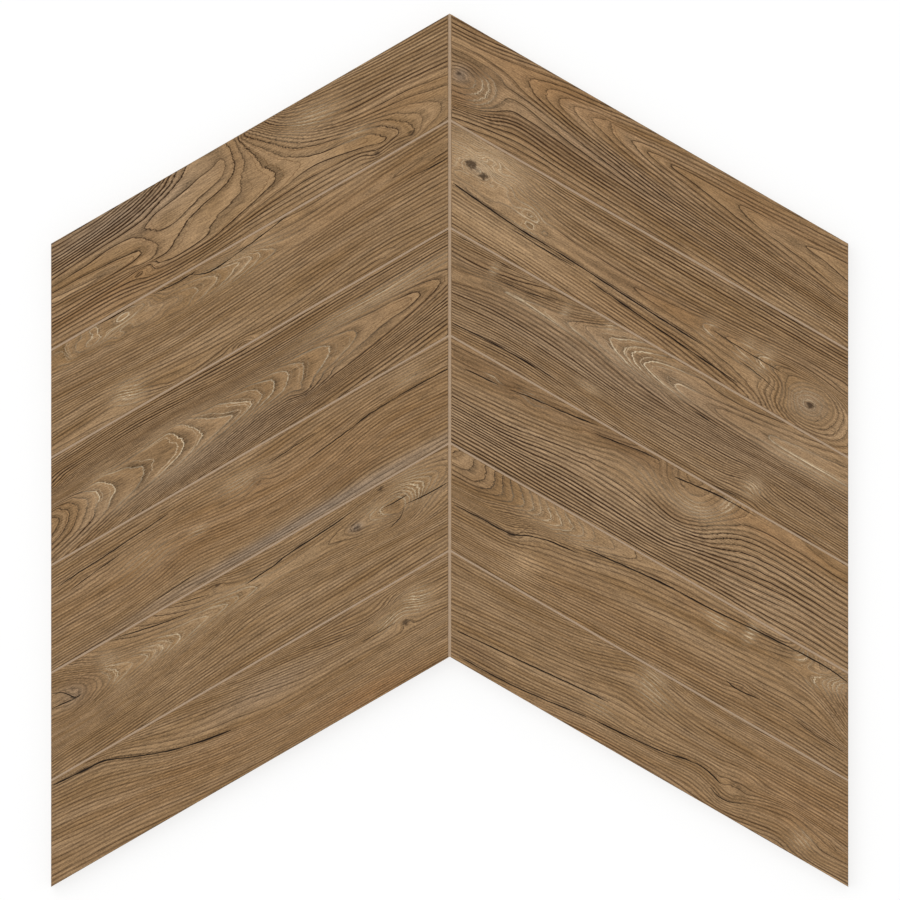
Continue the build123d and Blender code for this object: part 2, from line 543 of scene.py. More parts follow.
# %% Draw the wood of right plank 2
wood["right_plank_2"] = {
    "density": 1.25,
    "rings": [
        (0, (0, 0.5), (40, -1), (70, 0), (120, 0), (216, 0.5)),
        (3, (30, 2), (50, 3), (80, 5), (120, 5.5), (216, 6)),
        (6, (36, 6), (52, 8.5), (80, 11), (120, 11.5), (170, 11), (218, 10)),
        (9, (38, 10), (52, 13), (72, 16), (100, 18), (130, 18), (170, 16.5), (200, 14), (222, 14)),
        (11, (30, 14), (44, 18), (60, 21), (80, 23), (110, 23), (140, 21.5), (154, 20), (180, 18.5),
            (205, 17.5), (228, 20)),
        (12, (190, 29.5), (165, 27.5), (153, 24.5), (156, 21.5), (170, 20)),
        (13, (182, 27.5), (172, 24.5), (176, 22), (186, 20.5)),
        (14, (190, 27), (185, 24.5), (188, 22), (196, 20.5)),
        (16, (203, 33), (201, 28), (206, 23.5), (216, 22), (225, 26), (228, 32), (224, 38),
            (214, 40), (206, 38), (203, 33)),
        (18, (207, 33), (206, 29.5), (211, 26.5), (218, 27), (221, 31), (218, 35.5), (212, 36.5),
            (207, 33)),
        (10, (14, 24.5), (30, 26), (53, 27.6), (81, 28.6), (122, 30.5), (155, 32.5), (175, 36),
            (188, 40), (194, 44)),
        (7, (18, 31), (60, 33), (93, 35), (122, 37.5), (155, 40.5), (175, 43.5)),
        (4, (20, 36.5), (60, 38.5), (100, 41), (130, 43.5)),
        (1, (24, 42), (60, 43.5)),
    ],
    "cracks": [
        (0.42, (15, 24.5), (29.6, 25.9), (53, 27.6), (81, 28.3), (122.6, 30.5), (155, 31.9)),
        (0.4, (93.4, 32.2), (122.6, 34.7), (154.5, 37.3), (178.8, 39.1)),
        (0.25, (156, 23.4), (175, 24.2), (195, 24.3)),
        (0.22, (172.6, 29.4), (184, 30.6), (196, 32.9)),
        (0.25, (167, 0.4), (180, 0.4), (193, 0.8)),
        (0.25, (167, 3), (178, 3.4)),
        (0.25, (50, 29.4), (66, 30), (84, 30.2)),
        (0.3, (219, 38), (220.5, 35), (221, 33)),
    ],
    "knots": [(18.5, 12.5, 4, 2.0, 0.75), (26, 14.5, 3.6, 1.5, 0.65), (213.5, 31.2, 3, 0.4, 0.7)],
    "patches": {
        "ink": [
            (150, 10, 90, 10, 0.2), (60, 34, 60, 7, -0.4), (140, 38, 50, 5, 0.2),
            (22, 10, 24, 12, -0.4), (213, 31, 10, 8, -0.8),
        ],
        "pale": [
            (24, 9, 20, 10, 0.7), (55, 21, 9, 6, 0.7), (154, 24, 4, 4, 0.7), (174, 24, 4, 5, 0.8),
            (184, 24, 4, 6, 0.8), (211, 30, 10, 7, 0.3),
        ],
        "dark": [
            (118, 24, 36, 4, 0.5), (50, 36, 50, 6, -0.7), (26, 9, 30, 10, -0.4),
            (205, 12, 20, 8, 0.25),
        ],
        "warm": [(100, 38, 60, 6, 0.25), (140, 24, 50, 6, 0.2)],
        "grey": [(23, 13.5, 6, 2.5, 0.3), (213, 31, 8, 6, 0.4)],
        "swirl": [(22, 10, 20, 12, 1.3), (58, 21, 8, 5, 1.0)],
    },
}

# %% Draw the wood of right plank 3
wood["right_plank_3"] = {
    "density": 1.45,
    "rings": [
        (0, (0, 1), (30, 0), (50, -1)),
        (3, (3, 6), (20, 5), (40, 2.5), (60, -1)),
        (5, (6, 11), (20, 10), (40, 7), (60, 4.5), (80, 0)),
        (7, (9, 15.5), (22, 13), (34, 10.5), (50, 9), (70, 6), (84, 1), (88, -1)),
        (9, (120, 17.5), (100, 14.5), (84, 11), (78, 8), (84, 5), (92, 2), (100, -1)),
        (10, (125, 16), (108, 13.5), (97, 9), (100, 5), (106, 2), (114, -1)),
        (11, (135, 16.5), (114, 13.5), (104, 9), (107, 5), (118, 1), (124, -1)),
        (11.6, (132, 14.5), (118, 12.5), (110, 9.5), (114, 6), (124, 3), (140, 0)),
        (12.2, (190, 16.5), (160, 15.5), (135, 13.5), (124, 10.5), (130, 7.5), (170, 4), (200, 0)),
        (13.2, (222, 13.5), (200, 13), (170, 12), (156, 10), (170, 8), (195, 5), (214, 1)),
        (14, (220, 11), (200, 11), (184, 10), (195, 8), (217, 6)),
        (7, (12, 21), (30, 17), (50, 15), (75, 16.5), (100, 20.5), (120, 22.5), (160, 23),
            (200, 22.5), (228, 24)),
        (5, (15, 24), (40, 21), (70, 21.5), (100, 25), (120, 26.5), (160, 26), (182, 25.5),
            (230, 27.5)),
        (2, (17, 29), (50, 27), (90, 29), (120, 31), (165, 31), (182, 29.5), (200, 32), (232, 33.5)),
        (-1, (20, 34), (50, 32), (90, 34), (130, 36), (165, 36), (182, 34), (195, 37), (236, 38)),
        (-4, (23, 38.5), (56, 36.5), (90, 38.5), (130, 41), (170, 41), (185, 40), (200, 42),
            (238, 43)),
        (-7, (25, 43), (60, 41.5), (100, 43.5), (140, 46)),
    ],
    "cracks": [
        (0.32, (23, 38), (40, 36.8), (56, 36.3), (78, 36.6)),
        (0.3, (167, 42.7), (174, 41.8), (182, 41.5)),
        (0.22, (30, 9.6), (46, 7.6), (60, 4.6)),
        (0.2, (24, 2), (34, 1.8)),
        (0.22, (138, 16.2), (150, 17.2), (156, 17.8)),
        (0.2, (3, 1.2), (14, 0.6)),
    ],
    "knots": [(182, 33, 4, -0.8, 0.0)],
    "patches": {
        "ink": [(100, 26, 120, 12, 0.3), (30, 8, 30, 5, 0.2)],
        "pale": [
            (27, 6, 2, 3.5, 0.5), (66, 6.4, 2, 3.5, 0.5), (88, 2, 2, 3, 0.5),
            (104, 8, 14, 6, 0.9), (126, 9, 10, 5, 0.9), (200, 11, 22, 4, 0.7), (184, 34, 4, 4, 0.7),
            (56, 12.5, 26, 2, 0.6), (93, 32, 6, 2, 0.5),
        ],
        "dark": [(20, 7, 20, 5, 0.2), (130, 8, 60, 6, 0.2)],
        "grey": [(110, 20, 120, 14, 0.3)],
    },
}

# %% Draw the wood of right plank 4
wood["right_plank_4"] = {
    "density": 1.3,
    "rings": [
        (0, (0, 0.5), (20, -1)),
        (2, (4, 6), (30, 4), (57, 0), (64, -1)),
        (4, (6, 11), (31, 8.5), (57, 5), (81, 1.6), (92, -1)),
        (6, (9, 16), (40, 13.5), (60, 11), (81, 6), (106, 1.6), (111, -1)),
        (8, (12, 20), (40, 18), (60, 15.5), (80, 12), (96, 8.5), (108, 9), (118, 13), (128, 16.5),
            (138, 17), (146, 14), (152, 9), (156, 4), (157, -1)),
        (6, (114, -1), (118, 6), (126, 11), (136, 13), (144, 11), (149, 6), (151, -1)),
        (4, (122, -1), (127, 5.5), (136, 8.5), (142, 5), (144, -1)),
        (10, (14, 24), (45, 22.5), (65, 19.5), (80, 17), (100, 15), (115, 18), (128, 21),
            (137, 21.5), (146, 18.5), (156, 12.5), (166, 7), (180, 5.5), (200, 6), (219, 7)),
        (12, (15, 27), (45, 26), (75, 22.5), (100, 21.5), (118, 23.5), (130, 25), (140, 24.5),
            (150, 22), (165, 14), (185, 12), (222, 13)),
        (14, (17, 30), (50, 29.5), (80, 27.5), (105, 27.5), (130, 29), (142, 28.5), (155, 25),
            (172, 19.5), (195, 18), (226, 19)),
        (16, (19, 33), (50, 32.5), (80, 31.5), (110, 32), (135, 33), (150, 30.5), (175, 26),
            (200, 24.5), (230, 25)),
        (18, (20, 36), (60, 35.5), (110, 36.5), (140, 36), (160, 34), (180, 32), (205, 30.5),
            (233, 31.5)),
        (20, (22, 40), (60, 39.5), (120, 39.5), (160, 38.5), (205, 37), (237, 37.5)),
        (22, (25, 43.5), (80, 43), (140, 43), (200, 42.5), (240, 43)),
    ],
    "cracks": [
        (0.35, (13, 9.7), (22, 9), (31, 8.3)),
        (0.3, (36.5, 7.6), (46, 6), (57, 4.8), (70, 3.2), (81, 1.4)),
        (0.32, (81, 5.5), (94, 3.6), (106, 1.6), (115, 1.2)),
        (0.4, (124, 4.4), (135, 3), (147.6, 1.6), (167, 1.4)),
        (0.25, (5, 7), (11, 6.8)),
    ],
    "knots": [(86.5, 18, 2.5, 0.3, 0.3), (25, 7.5, 3, 0.6, 0.3), (178, 22.5, 2.5, 0.2, 0.25)],
    "patches": {
        "ink": [
            (50, 34, 55, 12, 0.7), (190, 26, 50, 15, 0.7), (120, 36, 60, 8, 0.4),
            (120, 6, 60, 7, -0.3), (35, 8, 45, 8, -0.4),
        ],
        "pale": [
            (140, 12, 12, 4, 0.5), (48, 6, 6, 2, 0.5), (27, 7, 4, 2, 0.5), (112, 12, 12, 5, 0.2),
            (153, 4, 3, 4, 0.7),
        ],
        "dark": [
            (35, 6, 38, 6, 0.7), (105, 4, 28, 5, 0.6), (132, 20, 10, 3, 0.4),
            (165, 27, 20, 4, 0.3), (110, 30, 160, 14, -0.4),
        ],
        "warm": [(180, 5, 30, 5, 0.4), (100, 30, 160, 14, -0.2)],
        "swirl": [(45, 7, 34, 4, 0.6)],
    },
}

# %% Draw the wood of right plank 5
wood["right_plank_5"] = {
    "density": 1.6,
    "rings": [
        (15, (6, 10), (18, 9.5), (22, 5), (18, -1)),
        (14, (8, 13), (24, 11.5), (30, 7), (26, -1)),
        (13, (9, 15.5), (26, 13.5), (38, 9), (36, 3), (32, -1)),
        (12, (28, 15), (42, 10.5), (47, 7), (44, 2), (40, -1)),
        (11, (32, 16), (48, 10.5), (54, 6.5), (50, 1), (48, -1)),
        (10, (10, 18.5), (34, 17), (52, 11.5), (63, 7), (58, 2), (54, -1)),
        (9, (60, 11.5), (73, 6), (66, 1), (64, -1)),
        (8, (64, 12.5), (82, 5.5), (76, -1)),
        (7, (12, 21), (40, 19.5), (55, 14.5), (70, 12), (90, 7), (100, 3), (96, -1)),
        (5, (15, 24), (45, 22.6), (53, 19), (63, 16.3), (78, 14), (103, 8.5), (122, 6.6),
            (145, 5.8), (168, 4.5), (185, 3), (190, -1)),
        (3, (17, 28), (45, 27), (60, 24), (80, 20), (110, 15), (140, 12), (170, 11), (185, 8.5),
            (196, 5), (194, -1)),
        (3, (228, 22), (212, 15), (203, 10), (210, 5), (214, 0)),
        (4, (222, 17), (213, 12), (209, 8.5), (213, 4), (217, 1)),
        (5.5, (220, 13), (215, 9), (215, 6), (219, 3)),
        (1, (18, 32), (50, 31), (80, 27.5), (110, 22.5), (140, 19), (170, 17.5), (200, 17),
            (215, 20), (230, 26)),
        (-1, (19, 35), (60, 34), (90, 31), (120, 28), (150, 26), (175, 25.5), (205, 25), (232, 30)),
        (-4, (22, 39), (60, 38.5), (100, 36.5), (140, 34), (168, 33), (190, 32), (205, 31.5),
            (235, 33.5)),
        (-6.5, (24, 42.5), (60, 43), (110, 41.5), (150, 39.5), (200, 38), (238, 39)),
        (-8.5, (120, 44.5), (160, 43.5), (200, 42.5), (240, 44)),
    ],
    "cracks": [
        (0.35, (15, 23.8), (30, 23), (45, 22.5), (53, 19), (63, 16.2), (77.5, 14.5)),
        (0.4, (78, 10.9), (103, 8.2), (122.6, 6.5), (145, 5.8), (168, 4), (203, 2.3), (219.5, 3.7)),
        (0.35, (168, 31.4), (174, 32.4), (180, 32), (186, 31.2)),
        (0.22, (205, 31.4), (220, 32.8), (233, 32.8)),
    ],
    "knots": [(45.5, 22.5, 3, 0.8, 0.6), (176, 31.5, 4, -1.0, 0.35)],
    "patches": {
        "ink": [(30, 5, 36, 8, 0.5), (110, 22, 200, 40, -0.2)],
        "pale": [
            (60, 6, 22, 5, 0.5), (148, 7.5, 6, 2.5, 0.6), (153, 10.5, 4, 2, 0.5),
            (167, 6.5, 2.5, 4, 0.9), (195, 5, 4, 4, 0.6), (204, 10, 3, 3, 0.8),
            (213, 7, 6, 5, 0.5),
        ],
        "dark": [
            (20, 7, 22, 6, 0.3), (57, 33, 9, 7, -0.7), (222, 12, 6, 10, 0.3), (85, 24, 20, 5, 0.2),
        ],
        "warm": [(120, 34, 80, 8, 0.25), (140, 8, 20, 4, 0.3)],
    },
}

# %% Draw the wood of right plank 6
wood["right_plank_6"] = {
    "density": 1.5,
    "rings": [
        (0, (0, 1), (40, 0), (60, -1)),
        (2, (3, 5), (30, 4.5), (60, 2), (80, -1)),
        (4, (6, 9), (40, 7.3), (70, 4.5), (88, 0), (92, -1)),
        (6, (8, 13), (40, 11), (72, 8), (90, 4), (98, 1.5), (104, 0.5), (112, 1.5), (124, 3),
            (140, 5), (160, 5), (217, 4.5)),
        (8, (10, 17), (40, 15), (75, 11.5), (92, 7.5), (100, 5), (106, 4.3), (114, 5.5), (124, 8),
            (140, 9.5), (190, 9.5), (218, 9)),
        (4, (116, -1), (130, 1), (150, 2.5), (175, 2), (216, 1)),
        (10, (13, 22), (40, 19.5), (75, 15.5), (97, 12), (106, 10.5), (114, 11), (126, 13),
            (150, 15), (190, 14), (222, 13.5)),
        (12, (15, 26), (45, 23.5), (80, 20), (105, 16), (125, 18), (150, 19), (175, 17.5),
            (225, 18.5)),
        (14, (20, 30.7), (53, 28), (81, 25.5), (105, 23), (130, 24), (150, 23), (162, 22.5),
            (172, 21), (184, 22.5), (200, 22), (228, 23.5)),
        (17, (24, 36.5), (60, 35.5), (90, 32), (120, 32), (137, 30.5), (152, 28.5), (163, 31),
            (170, 33), (177, 30.5), (186, 27.5), (200, 25.5), (216, 27), (231, 29)),
        (19, (27, 40.8), (53, 40), (95, 35.3), (130, 34.5), (150, 32.5), (161, 34.5), (168, 37),
            (175, 36), (184, 32.5), (200, 30.5), (214, 34), (222, 36), (235, 35)),
        (21, (60, 42.5), (100, 38.5), (130, 37.5), (150, 36.5), (162, 38.5), (170, 40), (184, 37.5),
            (200, 35.5), (213, 39), (222, 40.5), (238, 39.5)),
        (23, (110, 42), (140, 41.5), (160, 43), (180, 43), (200, 40.5), (212, 43), (240, 44)),
    ],
    "cracks": [
        (0.32, (20.5, 30.7), (53, 28), (81, 25.5), (100, 24.1)),
        (0.32, (27.5, 40.8), (53, 40.1), (70, 38.4), (95, 35.2)),
        (0.36, (95, 35), (129.5, 32.2), (145, 29.2), (155, 28.5), (165, 31)),
        (0.3, (161, 34.6), (167, 36.8), (173, 36.2), (180, 33.4)),
        (0.22, (222, 29), (229, 31.4)),
    ],
    "knots": [(171, 28, 4, 1.0, 0.5)],
    "patches": {
        "ink": [(120, 22, 200, 40, -0.2)],
        "pale": [
            (112, 4, 6, 5, 0.6), (117, 11, 9, 3, 0.5), (211, 35, 5, 4, 0.6), (97, 28, 8, 3, 0.4),
        ],
        "dark": [(33, 34, 11, 3, 0.6), (60, 10, 40, 8, 0.1)],
        "warm": [(205, 20, 34, 14, 0.4), (100, 42, 60, 4, 0.3)],
    },
}

# %% Count what is drawn
for node, drawn in wood.items():
    print(node, "rings:", len(drawn["rings"]), "cracks:", len(drawn["cracks"]))

# %% [markdown]
# The drawn wood becomes numbers at each point of a plank's face.
#
# A material can read a mesh attribute, a named number at each vertex. The ring number, the
# distance from one ring to the next, the nearest crack and the strengths of ink and tone are
# all smooth, so a point every half millimetre carries them well, and the material draws crisp
# lines from them. They belong to the surface, so the print stays with the plank in any view.

# %% Find each point's place in the wood
def wood_place(mesh, side, row):
    """The places (u, v) of a plank's points, in mm along and across its grain."""
    points = np.empty(len(mesh.vertices) * 3)
    mesh.vertices.foreach_get("co", points)
    points = points.reshape(-1, 3)
    out = points[:, 0] * side - spine_edge
    down = plank_top - row * row_pitch - points[:, 1]
    u = (out * math.cos(slope) + down * math.sin(slope)) / mm
    v = (down * math.cos(slope) - out * math.sin(slope)) / mm
    edge = np.minimum.reduce([v, plank_width / mm - v, out / mm, (plank_run - out) / mm])
    return points, u, v, edge


# %% Add up humps and patches
def hump(u, v, place_u, place_v, along, across):
    return np.exp(-(((u - place_u) / along) ** 2) - ((v - place_v) / across) ** 2)


def patches(drawn, kind, u, v):
    """How strong one kind of patch is at each place."""
    strength = np.zeros_like(u)
    for place_u, place_v, along, across, most in drawn["patches"].get(kind, []):
        strength += most * hump(u, v, place_u, place_v, along, across)
    return strength


# %% Find the nearest crack
crack_reach = 1.2  # mm from a crack, past which a point knows nothing of it
crack_jag = 0.06  # mm that a crack strays from its drawn line
slow_jag, quick_jag = 7, 2.5  # mm along the grain from one bend to the next
crack_taper = 6.0  # mm over which a crack thins out at each end
crack_swell = 14  # mm along the grain from one wide place to the next


def nearest_crack(drawn, u, v, seed):
    """The distance across to the nearest crack and its half width there, in mm."""
    offset = np.full_like(u, crack_reach)
    width = np.zeros_like(u)
    for number, (half_width, *line) in enumerate(drawn["cracks"]):
        line = smooth_line(sorted(line))
        course = np.interp(u, line[:, 0], line[:, 1])
        jag = wander(u, 0 * u, slow_jag, 1, seed + number)
        jag = jag + 0.5 * wander(u, 0 * u, quick_jag, 1, seed + number + 50)
        lean = np.arctan(np.interp(u, line[:, 0], np.gradient(line[:, 1], line[:, 0])))
        across = (v - course - crack_jag * jag) * np.cos(lean)
        taper = np.minimum(u - line[0, 0], line[-1, 0] - u) / crack_taper
        swell = 0.85 + 0.25 * wander(u, 0 * u, crack_swell, 1, seed + number + 90)
        here = half_width * np.clip(taper, 0, 1) ** 0.5 * swell
        nearer = (np.abs(across) < np.abs(offset)) & (taper > 0)
        offset = np.where(nearer, across, offset)
        width = np.where(nearer, here, width)
    return offset, width


# %% Work out a plank's numbers
slow_wobble = 0.14  # rings that the lines stray by, over some cm of grain
quick_wobble = 0.03  # and over some mm
knot_curl = 0.12  # rings that the lines curl by round a knot
slow_waves, quick_waves = (70, 14), (20, 4)  # mm along and across the grain
curl_waves, swirl_waves = (10, 7), (16, 9)
slope_step = 0.2  # mm between the two places that give a slope of the map
steepest_lean = 0.3  # rings for each mm of grain; more would break the lines into combs
widest_ring = 40.0  # mm; the map is flat at its summits and saddles
usual_ink = 0.95  # how strongly a ring prints where no patch says otherwise


def read_wood(drawn, u, v, seed):
    """Every number that the print and the relief need, by name."""
    drawn_rings = ring_map(drawn["rings"])

    def rings(u, v):
        number = drawn_rings(u, v) * drawn["density"]
        for place_u, place_v, radius, lift, _ in drawn["knots"]:
            number += lift * hump(u, v, place_u, place_v, 1.6 * radius, radius)
            curl = knot_curl * hump(u, v, place_u, place_v, 4.0 * radius, 2.0 * radius)
            number += curl * wander(u, v, *curl_waves, seed + 6)
        slow = slow_wobble * wander(u, v, *slow_waves, seed)
        number += slow + quick_wobble * wander(u, v, *quick_waves, seed + 1)
        return number + patches(drawn, "swirl", u, v) * wander(u, v, *swirl_waves, seed + 5)

    number = rings(u, v)
    lean = (rings(u + slope_step, v) - number) / slope_step
    climb = np.hypot(lean, (rings(u, v + slope_step) - number) / slope_step)
    knot = np.zeros_like(u)
    for place_u, place_v, radius, _, dark in drawn["knots"]:
        knot += dark * hump(u, v, place_u, place_v, 0.9 * radius, 0.6 * radius)
    offset, width = nearest_crack(drawn, u, v, seed + 2)
    return {
        "rings": number,
        "lean": np.clip(lean, -steepest_lean, steepest_lean),
        "spacing": np.minimum(1 / np.maximum(climb, 1e-6), widest_ring),
        "ink": usual_ink + patches(drawn, "ink", u, v),
        "pale": patches(drawn, "pale", u, v),
        "dark": patches(drawn, "dark", u, v),
        "warm": patches(drawn, "warm", u, v) - patches(drawn, "grey", u, v),
        "knot": knot,
        "crack": offset,
        "crack_width": width,
    }


# %% [markdown]
# The press leaves the relief.
#
# Structured porcelain is pressed in step with its print, so each dark line is also a shallow
# groove. The points only move down, into the plank, so the sheet keeps its size, and they
# settle back to the flat at the edge, where the arris stays straight.

# %% Press the relief and store the numbers
ring_groove, ring_side = 0.07, 0.8  # mm deep, and mm from the middle to each side
crack_groove, crack_side = 0.22, 0.65
edge_flat = 0.9  # mm from the edge over which the relief dies out


def soft_line(distance, half_width):
    """1 on a line, 0 beyond its half width, and smooth between."""
    near = np.clip(1 - distance / half_width, 0, 1)
    return near * near * (3 - 2 * near)


def press(plank, side, row, drawn, seed):
    """Sinks the relief into a plank's face, and stores its wood as attributes."""
    mesh = plank.data
    points, u, v, edge = wood_place(mesh, side, row)
    numbers = read_wood(drawn, u, v, seed)
    from_ring = np.abs(numbers["rings"] - np.round(numbers["rings"])) * numbers["spacing"]
    depth = ring_groove * soft_line(from_ring, ring_side) * np.clip(numbers["ink"], 0.2, 1.2)
    depth += crack_groove * soft_line(np.abs(numbers["crack"]), crack_side) * (numbers["crack_width"] > 0)
    on_top = points[:, 2] > thickness - hair
    points[:, 2] -= np.where(on_top, depth * np.clip(edge / edge_flat, 0, 1), 0) * mm
    mesh.vertices.foreach_set("co", points.ravel())
    for name, values in numbers.items():
        mesh.attributes.new(name, "FLOAT", "POINT").data.foreach_set("value", values.astype(np.float32))
    grain = np.c_[u, v, np.full_like(u, seed)].astype(np.float32)
    mesh.attributes.new("grain", "FLOAT_VECTOR", "POINT").data.foreach_set("vector", grain.ravel())
    mesh.update()
    return depth.max()


# %% Press every plank
deepest = 0
for column, side in columns.items():
    for row in range(rows):
        node = f"{column}_plank_{row + 1}"
        seed = 100 * (row + 1) + 7 * side
        deepest = max(deepest, press(planks[node], side, row, wood[node], seed))
print(f"deepest relief {deepest:.2f} mm")

# %% [markdown]
# Materials are built from nodes, and one small function adds them.
#
# Colours are written as the hex values that a colour picker shows, and one function turns them
# into the linear values that Blender works in.

# %% Add nodes and colours
def linear(hex_colour):
    """An sRGB hex colour as linear red, green, blue and alpha."""
    shares = [int(hex_colour[i : i + 2], 16) / 255 for i in (1, 3, 5)]
    return [s / 12.92 if s <= 0.04045 else ((s + 0.055) / 1.055) ** 2.4 for s in shares] + [1]


def add_node(tree, kind, inputs=(), output=0, **settings):
    """Adds a node with its settings, feeds its inputs, and gives one output, or the node."""
    made = tree.nodes.new("ShaderNode" + kind)
    for name, value in settings.items():
        setattr(made, name, value)
    for key, value in (inputs.items() if isinstance(inputs, dict) else enumerate(inputs)):
        if isinstance(value, bpy.types.NodeSocket):
            tree.links.new(value, made.inputs[key])
        else:
            made.inputs[key].default_value = value
    return made if output is None else made.outputs[output]


def new_material(name):
    """An empty node material and its tree."""
    material = bpy.data.materials.new(name)
    material.use_nodes = True
    material.node_tree.nodes.clear()
    return material, material.node_tree


def finish_material(tree, colour, roughness, bump):
    """Joins a colour, a roughness and a bump to the shader of a dull fired or set mineral."""
    inputs = {
        "Base Color": colour,
        "Roughness": roughness,
        "Normal": bump,
        "IOR": 1.5,
        "Specular IOR Level": 0.15,
    }
    shader = add_node(tree, "BsdfPrincipled", inputs)
    add_node(tree, "OutputMaterial", [shader], output=None)


# %% [markdown]
# The print is the wood in coloured inks under a matte fired glaze.
#
# The ground is a tan that wanders between two browns. Fibres and pores are noise drawn out
# along the grain, and the fibres follow the rings because one of their coordinates is the ring
# number. The rings are thin dark lines, some weaker than others, and where the wood is pale they
# turn into light flecks. The cracks are nearly black. Each ink is laid over the ones before it.
# A matte glaze scatters light widely, so the planks look dry and show no mirror shine.

# %% Inks of the print
ground_light, ground_dark = "#9F8261", "#8A6C49"
broad_tones = [
    ("dark", 0.7, "#6B4E33"),
    ("dark", -0.7, "#C2A27C"),
    ("warm", 0.55, "#95683C"),
    ("warm", -0.6, "#8F8479"),
]
fine_brown, ring_brown, knot_brown, crack_brown = "#5A3C1E", "#2A1604", "#38281A", "#140A03"
pale_fleck = "#EBD6B4"

# %% Read the plank's numbers in the print's material
print_material, tree = new_material("inkjet printed matte glazed porcelain")
value = {}
for name in ("rings", "lean", "spacing", "ink", "pale", "dark", "warm", "knot", "crack", "crack_width"):
    value[name] = add_node(tree, "Attribute", attribute_name=name, output=2)
grain = add_node(tree, "Attribute", attribute_name="grain", output=1)
along, _, seed = add_node(tree, "SeparateXYZ", [grain], output=None).outputs
flow = add_node(tree, "CombineXYZ", [along, value["rings"], seed])


# %% Draw streaks and ragged ring lines
def streaks(place, length, rate, detail, swing):
    """Noise drawn out along the grain, from minus to plus the swing; rate is how many lie across."""
    drawn_out = add_node(tree, "VectorMath", [place, (1 / length, rate, 1)], operation="MULTIPLY")
    noise = add_node(tree, "TexNoise", {"Vector": drawn_out, "Scale": 1, "Detail": detail})
    return add_node(tree, "MapRange", [noise, 0.32, 0.68, -swing, swing])


# Pores are cut lengthwise, so a ring that crosses the grain is ragged and one along it is not
ragged = streaks(grain, length=6, rate=1 / 0.8, detail=2, swing=0.6)
ragged = add_node(tree, "Math", [ragged, value["lean"], value["rings"]], operation="MULTIPLY_ADD")


def ring_lines(rate, half_width, room, length, weakest):
    """Lines along the rings, some stronger than others, and broken along the grain.

    There are as many lines to a ring as the rate says. The half width is in mm, and is never more
    than the room, a share of a ring. The length is mm of grain from one break to the next.
    """
    number = add_node(tree, "Math", [ragged, rate, 0.5 * (rate - 1)], operation="MULTIPLY_ADD")
    nearest = add_node(tree, "Math", [number], operation="ROUND")
    off = add_node(tree, "Math", [number, nearest], operation="SUBTRACT")
    off = add_node(tree, "Math", [off], operation="ABSOLUTE")
    away = add_node(tree, "Math", [off, value["spacing"]], operation="MULTIPLY")
    width = add_node(tree, "Math", [value["spacing"], room], operation="MULTIPLY")
    width = add_node(tree, "Math", [width, half_width * rate], operation="MINIMUM")
    core = add_node(tree, "Math", [width, 0.3], operation="MULTIPLY")
    line = add_node(tree, "MapRange", [away, core, width, 1.0, 0.0])
    which = add_node(tree, "CombineXYZ", [nearest, seed, rate])
    own = add_node(tree, "TexWhiteNoise", {"Vector": which})
    own = add_node(tree, "MapRange", [own, 0.0, 1.0, weakest, 1.0])
    course = add_node(tree, "CombineXYZ", [along, nearest, seed])
    broken = streaks(course, length, rate=3.7, detail=2, swing=0.4)
    broken = add_node(tree, "Math", [broken, 0.9], operation="ADD", use_clamp=True)
    strength = add_node(tree, "Math", [own, broken], operation="MULTIPLY")
    return add_node(tree, "Math", [line, strength], operation="MULTIPLY")


# %% Lay the ground
band = streaks(flow, length=60, rate=0.35, detail=3, swing=0.5)
band = add_node(tree, "Math", [band, 0.5], operation="ADD", use_clamp=True)
grounds = {0: band, 6: linear(ground_light), 7: linear(ground_dark)}
colour = add_node(tree, "Mix", grounds, 2, data_type="RGBA")
for name, strength, tone in broad_tones:
    share = add_node(tree, "Math", [value[name], strength], operation="MULTIPLY", use_clamp=True)
    colour = add_node(tree, "Mix", {0: share, 6: colour, 7: linear(tone)}, 2, data_type="RGBA")

# %% Add fibres and pores
# The wood of each ring darkens towards its end. Real pores are about 0.1 mm wide, which is too
# fine to show here, so they are drawn 0.5 mm wide
within = add_node(tree, "Math", [value["rings"]], operation="FRACT")
late = add_node(tree, "Math", [within, 2.0], operation="POWER")
late = add_node(tree, "Math", [0.36, late], operation="SUBTRACT")
contrast = add_node(tree, "Math", [value["ink"], 0.5, -0.1], operation="MULTIPLY_ADD")
fine = add_node(tree, "Math", [late, contrast, 1.0], operation="MULTIPLY_ADD")
fibre = streaks(flow, length=24, rate=3.2, detail=3, swing=0.12)
strands = streaks(grain, length=9, rate=1 / 0.5, detail=2, swing=0.28)
pores = streaks(grain, length=1.0, rate=1 / 0.5, detail=2, swing=0.24)
for part in (fibre, strands, pores):
    fine = add_node(tree, "Math", [fine, part], operation="ADD")
fine = add_node(tree, "Math", [value["pale"], -0.14, fine], operation="MULTIPLY_ADD")
colour = add_node(tree, "VectorMath", [colour, fine], operation="MULTIPLY")

# %% Draw the rings in dark ink, or in pale ink where the wood is pale
pale = value["pale"]
brown = add_node(tree, "Math", [pale, -1.5, 1.0], operation="MULTIPLY_ADD", use_clamp=True)
ink = add_node(tree, "Math", [value["ink"], brown], operation="MULTIPLY")
ring_line = ring_lines(rate=1.0, half_width=0.4, room=0.28, length=24, weakest=0.55)
ring_line = add_node(tree, "Math", [ring_line, ink], operation="MULTIPLY")
fine_ink = add_node(tree, "Math", [ink, 0.65], operation="MULTIPLY")
fine_line = ring_lines(rate=2.0, half_width=0.26, room=0.3, length=10, weakest=0.0)
fine_line = add_node(tree, "Math", [fine_line, fine_ink], operation="MULTIPLY")
pale_ink = add_node(tree, "Math", [pale, 1.2], operation="MULTIPLY", use_clamp=True)
pale_line = ring_lines(rate=1.0, half_width=0.36, room=0.16, length=3, weakest=0.5)
pale_line = add_node(tree, "Math", [pale_line, pale_ink], operation="MULTIPLY")
dash_ink = add_node(tree, "Math", [pale_ink, 0.6], operation="MULTIPLY")
